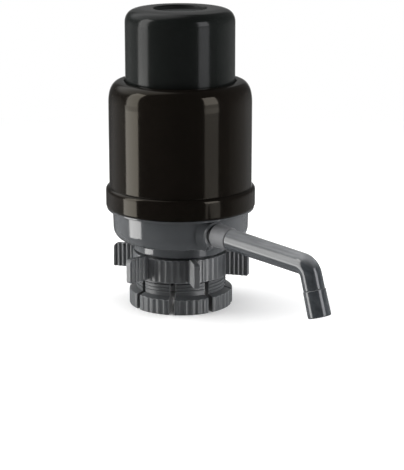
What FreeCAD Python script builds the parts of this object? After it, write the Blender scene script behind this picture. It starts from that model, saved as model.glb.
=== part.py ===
"""Water jug hand pump: press cap over a bellows, valves, swivel spout and wing ring neck clamp.

Millimetres, +Z up. The origin is the centre of the collet's mouth, where the jug neck enters, and the
spout points along +X. The plunger is up, the ring is open and the nozzle hangs down.
"""

import FreeCAD, Part
import math
import os

Vector = FreeCAD.Vector
ORIGIN = Vector(0, 0, 0)
UP = Vector(0, 0, 1)
ALONG_Y = Vector(0, 1, 0)

# ---- Clearances ----
running = 0.3            # between pieces that move past each other
seated = 0.05            # between pieces that are pushed together
past = 1.0               # how far a cutter runs past what it cuts

# ---- Jug neck and collet ----
grip_radius = 25.5       # bore between the finger lips
grip_height = 8.0        # height of the finger lips
crown_radius = 28.3      # chamber for the thick top ring of the jug neck
crown_height = 27.3      # from the finger lips up to the gasket
gasket_thickness = 3.5
gasket_width = 6.4
foot_radius = 38.2
foot_height = 12.8       # up to the thread wall
foot_slope = 1.7         # fall of the foot's top, outward
foot_flutes = 48
foot_flute_depth = 0.4
foot_flute_radius = 5.0
thread_radius = 32.8     # wall that carries the thread
thread_depth = 0.6       # room for the turns, between that wall and the ring
finger_count = 8
finger_slot_width = 4.0
finger_slot_height = 26.0
first_slot_angle = -7.0
collet_travel = 5.0      # how far the ring draws the collet up
key_count = 4
key_width = 3.0
key_height = 1.5
sleeve_wall = 1.5        # keyed sleeve that the collet slides on
sleeve_engagement = 5.5  # collet wall beside the sleeve when the collet is down

# ---- Wing ring ----
ring_height = 17.2
ring_wall = 1.7
ring_lip_thickness = 1.2
ring_lip_width = 1.6     # how far the lip reaches in over the base's retaining flange
ring_gap = 1.6           # open joint under the base's boss
ring_flutes = 48
ring_flute_depth = 0.35
ring_flute_radius = 6.0
ring_edge = 1.0
wing_count = 6
first_wing_angle = 31.3
wing_reach = 51.8
wing_thickness = 4.2
wing_height = 17.6
wing_rise = 1.0          # how far a wing stands above the ring
wing_corner = 3.2
wing_ribs = 4
wing_rib_pitch = 3.3
wing_groove_radius = 1.5
wing_groove_depth = 0.6

# ---- Base and neck hub ----
hub_plate_thickness = 3.0
hub_groove_wall = 2.9    # wall of the hub inside the ring's lip
retainer_thickness = 1.3
hub_spigot_height = 2.0  # locates the hub in the base before they are welded
hub_spigot_wall = 1.5
boss_radius = 35.0
boss_height = 7.2
boss_taper = 0.6
boss_cavity_wall = 5.8
bowl_draft = 0.6
bowl_height = 23.1
bowl_wall = 2.4
bowl_fillet = 9.5
rim_radius = 54.0
rim_overhang = 4.7       # rim, past the bowl
rim_thickness = 1.6
spigot_height = 6.3      # wall that locates the shell
spigot_wall = 2.3
snap_depth = 0.4
snap_height = 1.5
snap_level = 3.4         # from the rim up to the snap bead
ledge_width = 2.5
ledge_rise = 0.3         # from the rim up to the deck's seat
air_hole_radius = 4.5
air_offset = 10.0        # air valve and air hole, to +Y of the axis

# ---- Deck, clamp ring and screws ----
deck_thickness = 3.2
seal_radius = 0.75
clamp_outer = 42.6
clamp_thickness = 3.6
screw_circle = 39.6
screw_count = 4
first_screw_angle = 45.0
screw_shank_radius = 1.45
screw_head_radius = 2.6
screw_head_height = 1.9
screw_length = 16.0
post_radius = 4.2
valve_stem_radius = 1.5
valve_wall = 1.0
outlet_valve_radius = 7.5
intake_valve_radius = 9.0
port_hole_radius = 1.2
port_hole_count = 6
valve_barb = 0.7

# ---- Shell ----
shell_radius = 52.1
shell_height = 92.4
shell_wall = 2.2
band_radius = 54.7
band_height = 15.4
band_edge = 3.0
shoulder_drop = 16.0
shoulder_width = 10.5
guide_length = 14.0
guide_wall = 2.0
lip_chamfer = 1.0

# ---- Press cap ----
cap_radius = 39.7
stroke = 45.0            # how far the cap goes down
cap_stand = 6.9          # what stays above the shell when the cap is down
cap_wall = 2.2
cap_edge_drop = 10.0
cap_edge_width = 12.9
dish_radius = 19.5
dish_depth = 3.4
dish_draft = 1.5
dish_rim = 1.5
flange_radius = 42.6
flange_thickness = 2.6
rib_count = 6
rib_thickness = 1.6
rib_inner_radius = 24.0
head_depth = 22.0        # from the cap's top down to the bellows head
head_thickness = 2.5
head_bead = 0.5
collar_height = 7.0
collar_wall = 2.0
notch_width = 5.0
notch_depth = 1.6

# ---- Bellows and spring ----
bellows_outer = 35.0
bellows_inner = 29.6
bellows_wall = 1.3
bellows_folds = 10
bellows_cuff = 6.0
bellows_flange_width = 5.6
bellows_flange_thickness = 1.5
spring_radius = 22.0
spring_wire_radius = 1.1
spring_turns = 7.0
spring_wire_sides = 12
spring_seat_wall = 1.4
spring_seat_height = 2.5

# ---- Spout and water way ----
spout_offset = 12.0      # the spout's axis, to -Y of the pump's axis
port_stand = 4.2         # from the bowl's side to the centre of the port's end face
port_level = 62.5        # height of that centre
spout_fall = 2.4         # degrees below level
port_radius = 9.9
port_root_radius = 12.0
port_length = 8.0
port_edge = 1.0
socket_radius = 6.2
socket_wall = 1.8
socket_depth = 20.0
bearing = 0.08           # radial clearance of the swivel
snap_bead_height = 0.45
snap_bead_length = 1.6
water_radius = 3.4
riser_radius = 6.2
riser_flange_radius = 10.0
riser_flange_thickness = 2.4
riser_cap = 3.0
hose_radius = 4.6
hose_wall = 1.5
hose_end_level = 14.4
hose_grooves = 3
hose_groove_depth = 0.5
hose_groove_pitch = 4.5
o_ring_radius = 0.8
o_ring_pitch = 5.0
o_ring_inset = 6.0
collar_length = 14.9
collar_start_radius = 8.5
collar_end_radius = 8.1
collar_seat_radius = 6.8
joint_gap = 0.6          # open joint between the port and the collar
arm_length = 91.2        # from the port's end face to where the arm's and nozzle's axes meet
arm_start_radius = 7.75
arm_end_radius = 7.4
bend_radius = 9.0
nozzle_tilt = 17.5       # degrees from straight down, outward
nozzle_length = 35.2
nozzle_seam = 16.5       # from where the axes meet to the sleeve
sleeve_start_radius = 7.8
sleeve_tip_radius = 8.0
sleeve_seat_radius = 5.6
nozzle_lip = 1.2

# ---- Heights, upwards from the collet's mouth ----
gasket_bottom = grip_height + crown_height
hub_bottom = gasket_bottom + gasket_thickness
boss_bottom = hub_bottom + hub_plate_thickness
ring_top = boss_bottom - ring_gap
ring_bottom = ring_top - ring_height
retainer_top = ring_top - ring_lip_thickness - running
retainer_bottom = retainer_top - retainer_thickness
collet_top = retainer_bottom - collet_travel - running
sleeve_bottom = collet_top - sleeve_engagement
chamber_top = sleeve_bottom - collet_travel - running
bowl_bottom = boss_bottom + boss_height
rim_bottom = bowl_bottom + bowl_height
shell_bottom = rim_bottom + rim_thickness
spigot_top = shell_bottom + spigot_height
deck_bottom = shell_bottom + ledge_rise
deck_top = deck_bottom + deck_thickness
clamp_top = deck_top + clamp_thickness
shell_top = shell_bottom + shell_height
cap_top = shell_top + cap_stand + stroke
guide_bottom = shell_top - guide_length
flange_top = guide_bottom - running
head_top = cap_top - head_depth
head_bottom = head_top - head_thickness

# ---- Radii that follow from others ----
bowl_radius = rim_radius - rim_overhang
port_reach = bowl_radius + port_stand
sleeve_outer = crown_radius + sleeve_wall
collet_bore = sleeve_outer + running
ring_bore = thread_radius + thread_depth + running
ring_radius = ring_bore + ring_wall
groove_radius = crown_radius + hub_groove_wall
lip_radius = groove_radius + running
retainer_radius = min(lip_radius + ring_lip_width - seated, ring_bore) - running
shell_bore = shell_radius - shell_wall
spigot_radius = shell_bore - 3 * seated
deck_bore = spigot_radius - spigot_wall
guide_bore = cap_radius + running
cap_bore = cap_radius - cap_wall
cuff_radius = bellows_inner + bellows_wall
spring_seat_radius = spring_radius - spring_wire_radius - 3 * seated
boss_bore = boss_radius - boss_cavity_wall

# ---- The spout's frame: its origin is the centre of the port's end face and its Z runs outward ----
port_x = math.sqrt(port_reach ** 2 - spout_offset ** 2)
spout_place = FreeCAD.Placement(
    Vector(port_x, -spout_offset, port_level), FreeCAD.Rotation(ALONG_Y, 90 + spout_fall)
)
riser_level = port_level + port_x * math.tan(math.radians(spout_fall))
riser_depth = port_x / math.cos(math.radians(spout_fall))
bend_angle = 90 - spout_fall - nozzle_tilt
bend_reach = bend_radius * math.tan(math.radians(bend_angle / 2))


# ---- Drawing helpers ----
def rounding(before, corner, after, radius):
    """Tangent arc that rounds a corner, as its start, its end and its edge."""
    to_before = (before - corner).normalize()
    to_after = (after - corner).normalize()
    half = to_before.getAngle(to_after) / 2
    reach = radius / math.tan(half)
    inward = (to_before + to_after).normalize()
    middle = corner + inward * (radius / math.sin(half) - radius)
    start = corner + to_before * reach
    end = corner + to_after * reach
    return start, end, Part.Arc(start, middle, end).toShape()


def sweep(before, corner, after, reach_in, reach_out):
    """Smooth curve that rounds a corner with a different reach on each side."""
    start = corner + (before - corner).normalize() * reach_in
    end = corner + (after - corner).normalize() * reach_out
    curve = Part.BezierCurve()
    curve.setPoles([start, corner, end])
    return start, end, curve.toShape()


def outline(corners):
    """Closed wire through (x, z), (x, z, radius) or (x, z, reach in, reach out) corners."""
    points = [Vector(corner[0], 0, corner[1]) for corner in corners]
    turns = []
    for i, corner in enumerate(corners):
        before = points[i - 1]
        after = points[(i + 1) % len(points)]
        if len(corner) == 4:
            turns.append(sweep(before, points[i], after, corner[2], corner[3]))
        elif len(corner) == 3:
            turns.append(rounding(before, points[i], after, corner[2]))
        else:
            turns.append((points[i], points[i], None))
    edges = []
    for i, (start, end, curve) in enumerate(turns):
        last_end = turns[i - 1][1]
        if last_end.distanceToPoint(start) > 1e-6:
            edges.append(Part.makeLine(last_end, start))
        if curve:
            edges.append(curve)
    return Part.Wire(edges)


def turned(corners):
    """Solid of revolution about Z."""
    return Part.Face(outline(corners)).revolve(ORIGIN, UP, 360)


def plate(corners, thickness):
    """Upright plate in the XZ plane, centred on it."""
    flat = Part.Face(outline(corners))
    flat.translate(Vector(0, -thickness / 2, 0))
    return flat.extrude(Vector(0, thickness, 0))


def rod(radius, bottom, top, x=0.0, y=0.0):
    """Upright cylinder."""
    return Part.makeCylinder(radius, top - bottom, Vector(x, y, bottom))


def o_ring(circle_radius, section_radius, level):
    """Ring of round section about Z."""
    return Part.makeTorus(circle_radius, section_radius, Vector(0, 0, level))


def around(shape, count, first_angle=0.0):
    """Copies of a shape, evenly spaced about Z."""
    copies = []
    for i in range(count):
        copy = shape.copy()
        copy.rotate(ORIGIN, UP, first_angle + i * 360 / count)
        copies.append(copy)
    return copies


def spout_frame(shape):
    """Carries a shape from the spout's frame to the pump's."""
    shape.Placement = spout_place.multiply(shape.Placement)
    return shape


def nozzle_frame(shape):
    """Carries a shape made along Z from the elbow to its place on the nozzle, in the spout's frame."""
    shape.rotate(ORIGIN, ALONG_Y, bend_angle)
    shape.translate(Vector(0, 0, arm_length))
    return shape


# ---- Plunger: press cap, bellows head and intake valve ----
def press_cap():
    skin = dish_depth + cap_wall
    skirt_bottom = flange_top - flange_thickness
    body = turned([
        (0, cap_top - dish_depth),
        (dish_radius - dish_draft, cap_top - dish_depth, dish_rim),
        (dish_radius, cap_top, dish_rim),
        (cap_radius, cap_top, cap_edge_width, cap_edge_drop),
        (cap_radius, flange_top),
        (flange_radius, flange_top, 0.5),
        (flange_radius, skirt_bottom, 0.8),
        (cap_bore, skirt_bottom),
        (cap_bore, cap_top - cap_wall, cap_edge_drop, cap_edge_width - cap_wall),
        (dish_radius + cap_wall, cap_top - cap_wall, dish_rim),
        (dish_radius - dish_draft + cap_wall, cap_top - skin, dish_rim),
        (0, cap_top - skin),
    ])
    rib = plate([
        (rib_inner_radius, head_top),
        (cap_bore + cap_wall / 2, head_top),
        (cap_bore + cap_wall / 2, cap_top - cap_edge_drop),
        (cap_radius - cap_edge_width, cap_top - cap_wall / 2),
        (rib_inner_radius, cap_top - cap_wall / 2),
    ], rib_thickness)
    bead = turned([
        (cap_bore + cap_wall / 2, head_bottom),
        (cap_bore - head_bead, head_bottom),
        (cap_bore + cap_wall / 2, head_bottom - 2 * head_bead - cap_wall),
    ])
    return body.fuse([bead] + around(rib, rib_count)).removeSplitter()


def bellows_head():
    rim = cap_bore - 3 * seated
    collar_radius = cuff_radius - bellows_wall - seated
    disc = turned([
        (0, head_bottom),
        (spring_seat_radius - spring_seat_wall, head_bottom),
        (spring_seat_radius - spring_seat_wall, head_bottom - spring_seat_height),
        (spring_seat_radius, head_bottom - spring_seat_height),
        (spring_seat_radius, head_bottom),
        (collar_radius - collar_wall, head_bottom),
        (collar_radius - collar_wall, head_bottom - collar_height, 0.5),
        (collar_radius, head_bottom - collar_height, 0.5),
        (collar_radius, head_bottom),
        (rim, head_bottom),
        (rim, head_top),
        (0, head_top),
    ])
    notch = Part.makeBox(notch_depth + past, notch_width, head_thickness + 2 * past)
    notch.translate(Vector(rim - notch_depth, -notch_width / 2, head_bottom - past))
    notches = around(notch, rib_count, 180 / rib_count)
    return disc.cut(notches + valve_holes(head_bottom, head_top, intake_valve_radius))


def valve_holes(bottom, top, valve_radius):
    """Stem hole, and the ring of ports that the valve covers, about Z."""
    port = rod(port_hole_radius, bottom - past, top + past, valve_radius * 0.6)
    stem = rod(valve_stem_radius + seated, bottom - past, top + past)
    return around(port, port_hole_count) + [stem]


def umbrella_valve(seat, seat_thickness, radius):
    """Rubber umbrella valve that hangs under a seat, its barb above."""
    top = seat + seat_thickness
    return turned([
        (0, seat - valve_wall - 2 * valve_barb),
        (valve_stem_radius * 2, seat - valve_wall - valve_barb),
        (radius, seat - valve_wall / 2, valve_wall / 4),
        (radius, seat, valve_wall / 8),
        (valve_stem_radius, seat),
        (valve_stem_radius, top),
        (valve_stem_radius + valve_barb, top),
        (valve_stem_radius, top + 3 * valve_barb, valve_barb / 2),
        (0, top + 3 * valve_barb),
    ])


def intake_valve():
    return umbrella_valve(head_bottom, head_thickness, intake_valve_radius)


# ---- Inside the shell: bellows, spring, clamp ring, deck, outlet valve ----
def bellows():
    """Folded rubber tube with a flange on the deck and a cuff over the head's collar."""
    flange_radius_out = bellows_inner + bellows_flange_width
    first_fold = deck_top + bellows_cuff
    last_fold = head_bottom - bellows_cuff
    pitch = (last_fold - first_fold) / bellows_folds
    outer = []
    inner = []
    for i in range(bellows_folds):
        valley = first_fold + i * pitch
        outer.append((cuff_radius, valley, bellows_wall / 2))
        outer.append((bellows_outer, valley + pitch / 2, bellows_wall / 2))
        inner.append((bellows_inner, valley, bellows_wall / 4))
        inner.append((bellows_outer - bellows_wall, valley + pitch / 2, bellows_wall / 4))
    return turned([
        (bellows_inner, deck_top),
        (flange_radius_out, deck_top),
        (flange_radius_out, deck_top + bellows_flange_thickness),
        (cuff_radius, deck_top + bellows_flange_thickness),
        *outer,
        (cuff_radius, last_fold),
        (cuff_radius, head_bottom),
        (bellows_inner, head_bottom),
        (bellows_inner, last_fold),
        *reversed(inner),
    ])


def return_spring():
    """Coil spring between the deck and the head, standing round their two spring seats.

    The wire has a many-sided section, because a round one along a helix meshes badly.
    """
    free_height = head_bottom - deck_top - 2 * spring_wire_radius
    path = Part.makeHelix(free_height / spring_turns, free_height, spring_radius)
    path.translate(Vector(0, 0, deck_top + spring_wire_radius))
    corners = [
        Vector(
            spring_radius + spring_wire_radius * math.cos(angle),
            0,
            deck_top + spring_wire_radius * (1 + math.sin(angle)),
        )
        for angle in (2 * math.pi * (k + 0.5) / spring_wire_sides for k in range(spring_wire_sides))
    ]
    section = Part.makePolygon(corners + corners[:1])
    return Part.Wire(path.Edges).makePipeShell([section], True, True)


def bellows_clamp_ring():
    step = bellows_inner + bellows_flange_width + seated
    ring = turned([
        (cuff_radius + running, deck_top + bellows_flange_thickness),
        (step, deck_top + bellows_flange_thickness),
        (step, deck_top),
        (clamp_outer, deck_top),
        (clamp_outer, clamp_top, 0.8),
        (cuff_radius + running, clamp_top, 0.8),
    ])
    hole = rod(screw_shank_radius + seated, deck_top - past, clamp_top + past, screw_circle)
    return ring.cut(around(hole, screw_count, first_screw_angle))


def clamp_screws():
    """Screws that hold the clamp ring, the bellows and the deck down on the base's posts."""
    screw = turned([
        (0, clamp_top - screw_length),
        (screw_shank_radius * 0.5, clamp_top - screw_length),
        (screw_shank_radius, clamp_top - screw_length + screw_shank_radius),
        (screw_shank_radius, clamp_top),
        (screw_head_radius, clamp_top),
        (screw_head_radius, clamp_top + screw_head_height, screw_head_height * 0.5),
        (0, clamp_top + screw_head_height),
    ])
    recess = Part.makeBox(screw_head_radius, 0.7, screw_head_height)
    recess.translate(Vector(-screw_head_radius / 2, -0.35, clamp_top + screw_head_height * 0.4))
    cross = recess.copy()
    cross.rotate(ORIGIN, UP, 90)
    screw = screw.cut([recess, cross])
    screw.translate(Vector(screw_circle, 0, 0))
    return Part.makeCompound(around(screw, screw_count, first_screw_angle))


def deck_plate():
    """Floor of the pump chamber: carries the bellows, the spring and the outlet valve."""
    rim = deck_bore - 3 * seated
    groove = seal_radius + seated
    middle = (deck_bottom + deck_top) / 2
    disc = turned([
        (0, deck_bottom),
        (rim, deck_bottom),
        (rim, middle - groove),
        (rim - 2 * groove + 2 * seated, middle - groove),
        (rim - 2 * groove + 2 * seated, middle + groove),
        (rim, middle + groove),
        (rim, deck_top),
        (spring_seat_radius, deck_top),
        (spring_seat_radius, deck_top + spring_seat_height),
        (spring_seat_radius - spring_seat_wall, deck_top + spring_seat_height),
        (spring_seat_radius - spring_seat_wall, deck_top),
        (0, deck_top),
    ])
    holes = valve_holes(deck_bottom, deck_top, outlet_valve_radius)
    for hole in holes:
        hole.translate(Vector(0, air_offset, 0))
    screw_hole = rod(screw_shank_radius + seated, deck_bottom - past, deck_top + past, screw_circle)
    return disc.cut(holes + around(screw_hole, screw_count, first_screw_angle))


def deck_seal():
    return o_ring(deck_bore - seated - seal_radius, seal_radius, (deck_bottom + deck_top) / 2)


def outlet_valve():
    valve = umbrella_valve(deck_bottom, deck_thickness, outlet_valve_radius)
    valve.translate(Vector(0, air_offset, 0))
    return valve


# ---- Casing: shell and base ----
def outer_shell():
    """Domed outer shell with its flared foot band and the guide that the cap slides in."""
    groove_bottom = shell_bottom + snap_level - seated
    groove_top = groove_bottom + snap_height + 2 * seated
    groove_radius_out = spigot_radius + snap_depth + seated
    guide_outer = guide_bore + guide_wall
    return turned([
        (shell_bore, shell_bottom),
        (band_radius, shell_bottom, 1.6),
        (band_radius, shell_bottom + band_height, band_edge),
        (shell_radius, shell_bottom + band_height, 0.5),
        (shell_radius, shell_top, shoulder_drop, shoulder_width - 1),
        (guide_bore + lip_chamfer, shell_top, 0.5),
        (guide_bore, shell_top - 2 * lip_chamfer, 0.6),
        (guide_bore, guide_bottom),
        (guide_outer, guide_bottom),
        (guide_outer, shell_top - shell_wall, 1.0),
        (shell_bore, shell_top - shell_wall, shoulder_width - shell_wall - 2, shoulder_drop - shell_wall),
        (shell_bore, groove_top),
        (groove_radius_out, groove_top),
        (groove_radius_out, groove_bottom),
        (shell_bore, groove_bottom),
    ])


def base_skin():
    """Half section of the base's outside, from the boss up the bowl and in over the shell's spigot."""
    bead_bottom = shell_bottom + snap_level
    return [
        (0, boss_bottom),
        (boss_radius, boss_bottom, 0.7),
        (boss_radius - boss_taper, bowl_bottom, 1.2),
        (bowl_radius, bowl_bottom, bowl_fillet),
        (bowl_radius + bowl_draft, rim_bottom, 0.8),
        (rim_radius, rim_bottom, 0.5),
        (rim_radius, shell_bottom, 0.3),
        (spigot_radius, shell_bottom),
        (spigot_radius, bead_bottom),
        (spigot_radius + snap_depth, bead_bottom),
        (spigot_radius + snap_depth, bead_bottom + snap_height - snap_depth),
        (spigot_radius, bead_bottom + snap_height),
        (spigot_radius, spigot_top, 0.5),
        (0, spigot_top),
    ]


def base_cavity():
    """Half section of the base's inside: boss bore, bowl, deck ledge and deck bore."""
    bowl_bore = bowl_radius - bowl_wall
    floor = bowl_bottom + bowl_wall
    return [
        (0, boss_bottom - past),
        (boss_bore, boss_bottom - past),
        (boss_bore, floor, 0.8),
        (bowl_bore, floor, bowl_fillet - bowl_wall),
        (bowl_bore, deck_bottom - 2 * ledge_width),
        (deck_bore - ledge_width, deck_bottom - ledge_width / 2),
        (deck_bore - ledge_width, deck_bottom),
        (deck_bore, deck_bottom),
        (deck_bore, spigot_top + past),
        (0, spigot_top + past),
    ]


def port_boss():
    """Flared boss that the spout turns in, in the spout's frame."""
    return turned([
        (0, -port_length),
        (port_root_radius + 1.5, -port_length),
        (port_root_radius - 2.2, -port_length / 2, port_length / 3, port_length / 4),
        (port_radius, 0, port_edge),
        (0, 0),
    ])


def base_body():
    """Bowl, boss, port and screw posts in one moulding."""
    port = spout_frame(port_boss()).common(rod(rim_radius, bowl_bottom, rim_bottom))
    bowl = turned(base_skin()).fuse(port).cut(turned(base_cavity()))
    post = rod(post_radius, bowl_bottom + bowl_wall / 2, deck_bottom, screw_circle)
    body = bowl.fuse(around(post, screw_count, first_screw_angle))
    screw_hole = rod(screw_shank_radius + seated, clamp_top - screw_length - past, clamp_top, screw_circle)
    socket = rod(socket_radius + socket_wall + seated, -port_length * 2, past)
    return body.cut(around(screw_hole, screw_count, first_screw_angle) + [spout_frame(socket)])


def neck_hub():
    """Hub welded under the boss: the ring's retaining flange and the keyed sleeve for the collet."""
    spigot = boss_bore - seated
    body = turned([
        (0, hub_bottom),
        (crown_radius, hub_bottom),
        (crown_radius, sleeve_bottom),
        (sleeve_outer, sleeve_bottom, 0.3),
        (sleeve_outer, retainer_bottom),
        (retainer_radius, retainer_bottom, 0.3),
        (retainer_radius, retainer_top),
        (groove_radius, retainer_top),
        (groove_radius, boss_bottom),
        (spigot, boss_bottom),
        (spigot, boss_bottom + hub_spigot_height, 0.4),
        (spigot - hub_spigot_wall, boss_bottom + hub_spigot_height, 0.4),
        (spigot - hub_spigot_wall, boss_bottom),
        (0, boss_bottom),
    ])
    key = Part.makeBox(key_height + sleeve_wall / 2, key_width, hub_bottom - sleeve_bottom)
    key.translate(Vector(sleeve_outer - sleeve_wall / 2, -key_width / 2, sleeve_bottom))
    keys = around(key, key_count, first_slot_angle + 180 / finger_count)
    riser_hole = rod(riser_radius + seated, hub_bottom - past, boss_bottom + past, 0, -spout_offset)
    air_hole = rod(air_hole_radius, hub_bottom - past, boss_bottom + past, 0, air_offset)
    return body.fuse(keys).cut([riser_hole, air_hole]).removeSplitter()


# ---- Water way: elbow with its hose spigot ----
def water_elbow():
    """Riser with a hose spigot below and the spout's socket at its side."""
    outer_radius = socket_radius + socket_wall
    undercut = snap_bead_length + 2 * running
    socket_end = socket_depth + undercut
    flange_top_level = boss_bottom + riser_flange_thickness
    groove_outer = riser_radius + 4 * seated + 2 * (seal_radius + seated)
    legs = turned([
        (0, hose_end_level),
        (hose_radius - 0.6, hose_end_level),
        (hose_radius, hose_end_level + 1.2),
        (hose_radius, hub_bottom - 1.5),
        (riser_radius, hub_bottom),
        (riser_radius, boss_bottom + 2 * seal_radius),
        (groove_outer, boss_bottom + 2 * seal_radius),
        (groove_outer, boss_bottom),
        (riser_flange_radius, boss_bottom),
        (riser_flange_radius, flange_top_level, 0.5),
        (riser_radius, flange_top_level, 0.8),
        (riser_radius, riser_level + riser_radius, riser_cap),
        (0, riser_level + riser_radius),
    ])
    for i in range(hose_grooves):
        level = hose_end_level + hose_groove_pitch * (i + 1)
        legs = legs.cut(turned([
            (hose_radius - hose_groove_depth, level),
            (hose_radius + past, level - past),
            (hose_radius + past, level),
        ]))
    legs.translate(Vector(0, -spout_offset, 0))
    arm = spout_frame(turned([
        (0, -riser_depth),
        (riser_radius, -riser_depth),
        (riser_radius, -socket_end - 2 * socket_wall),
        (outer_radius, -socket_end - socket_wall),
        (outer_radius, -seated),
        (0, -seated),
    ]))
    bore = rod(hose_radius - hose_wall, hose_end_level - past, riser_level, 0, -spout_offset)
    way = spout_frame(turned([
        (0, -riser_depth),
        (water_radius, -riser_depth),
        (water_radius, -socket_end),
        (socket_radius + snap_bead_height + running, -socket_end),
        (socket_radius + snap_bead_height + running, -socket_depth),
        (socket_radius, -socket_depth),
        (socket_radius, past),
        (0, past),
    ]))
    return legs.fuse(arm).cut([bore, way]).removeSplitter()


def elbow_seal():
    seal = o_ring(riser_radius + 3 * seated + seal_radius, seal_radius - seated, boss_bottom + seal_radius)
    seal.translate(Vector(0, -spout_offset, 0))
    return seal


# ---- Spout: arm with its swivel spigot, collar, nozzle sleeve and O-rings ----
def o_ring_levels():
    return [-o_ring_inset - i * o_ring_pitch for i in range(2)]


def spout_arm():
    """Tapered tube with the swivel spigot inside the port and the bend down to the nozzle."""
    spigot_radius_out = socket_radius - bearing
    spigot_end = -socket_depth - running - snap_bead_length
    bead_radius = socket_radius + snap_bead_height
    straight_end = arm_length - bend_reach
    groove_depth = 2 * o_ring_radius
    spigot = turned([
        (0, spigot_end),
        (spigot_radius_out - 0.5, spigot_end),
        (bead_radius, -socket_depth - running - 0.6),
        (bead_radius, -socket_depth - running),
        (spigot_radius_out, -socket_depth - running),
        (spigot_radius_out, joint_gap),
        (collar_seat_radius, joint_gap),
        (collar_seat_radius, collar_length),
        (arm_start_radius, collar_length, 0.4),
        (arm_end_radius, straight_end),
        (0, straight_end),
    ])
    grooves = []
    for level in o_ring_levels():
        cutter = rod(spigot_radius_out + past, level - o_ring_radius - seated, level + o_ring_radius + seated)
        core = rod(spigot_radius_out - groove_depth, level - 2 * o_ring_radius, level + 2 * o_ring_radius)
        grooves.append(cutter.cut(core))
    outer_bend = elbow(arm_end_radius)
    leg = nozzle_frame(turned([
        (0, bend_reach),
        (arm_end_radius, bend_reach),
        (arm_end_radius, nozzle_seam, 0.3),
        (sleeve_seat_radius, nozzle_seam),
        (sleeve_seat_radius, nozzle_length - nozzle_lip),
        (0, nozzle_length - nozzle_lip),
    ]))
    water_way = rod(water_radius, spigot_end - past, straight_end)
    nozzle_way = nozzle_frame(rod(water_radius, bend_reach, nozzle_length + past))
    body = spigot.fuse([outer_bend, leg]).cut(grooves + [water_way, elbow(water_radius), nozzle_way])
    return spout_frame(body.removeSplitter())


def elbow(radius):
    """Bend of round section from the arm to the nozzle, in the spout's frame."""
    start = Vector(0, 0, arm_length - bend_reach)
    disc = Part.Face(Part.Wire(Part.makeCircle(radius, start, UP)))
    return disc.revolve(start + Vector(bend_radius, 0, 0), ALONG_Y, bend_angle)


def spout_collar():
    """Grip sleeve on the arm beside the port."""
    return spout_frame(turned([
        (collar_seat_radius + seated, joint_gap),
        (collar_start_radius, joint_gap, 0.6),
        (collar_end_radius, collar_length - 2 * seated, 0.4),
        (collar_seat_radius + seated, collar_length - 2 * seated),
    ]))


def nozzle_sleeve():
    """Sleeve pushed over the end of the nozzle, with a rounded pouring lip."""
    sleeve = turned([
        (sleeve_seat_radius + seated, nozzle_seam + 2 * seated),
        (sleeve_start_radius, nozzle_seam + 2 * seated, 0.5),
        (sleeve_tip_radius, nozzle_length, 0.8),
        (water_radius + 2 * seated, nozzle_length, 0.6),
        (water_radius + 2 * seated, nozzle_length - nozzle_lip + seated),
        (sleeve_seat_radius + seated, nozzle_length - nozzle_lip + seated),
    ])
    return spout_frame(nozzle_frame(sleeve))


def spout_o_rings():
    rings = []
    for level in o_ring_levels():
        rings.append(spout_frame(o_ring(socket_radius - seated - o_ring_radius, o_ring_radius, level)))
    return Part.makeCompound(rings)


# ---- Neck clamp: gasket, collet and wing ring ----
def neck_gasket():
    outer = crown_radius - 3 * seated
    return turned([
        (outer - gasket_width, gasket_bottom, 0.4),
        (outer, gasket_bottom, 0.4),
        (outer, hub_bottom),
        (outer - gasket_width, hub_bottom),
    ])


def collet():
    """Slotted collet: finger feet and grip lips below, thread wall above, keyways inside."""
    body = turned([
        (grip_radius, 0),
        (foot_radius, 0, 0.6),
        (foot_radius, foot_height - foot_slope, 0.8),
        (thread_radius, foot_height, 0.3),
        (thread_radius, collet_top, 0.8),
        (collet_bore, collet_top),
        (collet_bore, chamber_top),
        (crown_radius, chamber_top, 0.4),
        (crown_radius, grip_height + crown_radius - grip_radius),
        (grip_radius, grip_height),
    ])
    flute_centre = foot_radius + foot_flute_radius - foot_flute_depth
    flute = rod(foot_flute_radius, -past, foot_height + past, flute_centre)
    flutes = around(flute, foot_flutes, first_slot_angle + 180 / foot_flutes)
    slot = Part.makeBox(foot_radius, finger_slot_width, finger_slot_height + past)
    slot.translate(Vector(grip_radius / 2, -finger_slot_width / 2, -past))
    slots = around(slot, finger_count, first_slot_angle)
    keyway = Part.makeBox(key_height + running, key_width + 2 * running, collet_top - chamber_top + past)
    keyway.translate(Vector(collet_bore - running, -key_width / 2 - running, chamber_top))
    keyways = around(keyway, key_count, first_slot_angle + 180 / finger_count)
    return body.cut(flutes).cut(slots + keyways)


def wing():
    """One finger wing with ribbed faces, along +X."""
    bottom = ring_top + wing_rise - wing_height
    inner = ring_bore + ring_wall / 2
    clear = boss_radius + 2 * running
    blade = plate([
        (inner, bottom),
        (wing_reach, bottom, 1.0),
        (wing_reach, ring_top + wing_rise, wing_corner),
        (clear, ring_top + wing_rise, 1.0),
        (clear, ring_top - ring_edge),
        (inner, ring_top - ring_edge),
    ], wing_thickness)
    grooves = []
    sink = wing_thickness / 2 + wing_groove_radius - wing_groove_depth
    for i in range(wing_ribs):
        place = wing_reach - wing_rib_pitch * (i + 0.8)
        for side in (-sink, sink):
            grooves.append(rod(wing_groove_radius, bottom - past, ring_top + wing_rise + past, place, side))
    return blade.cut(grooves)


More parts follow.
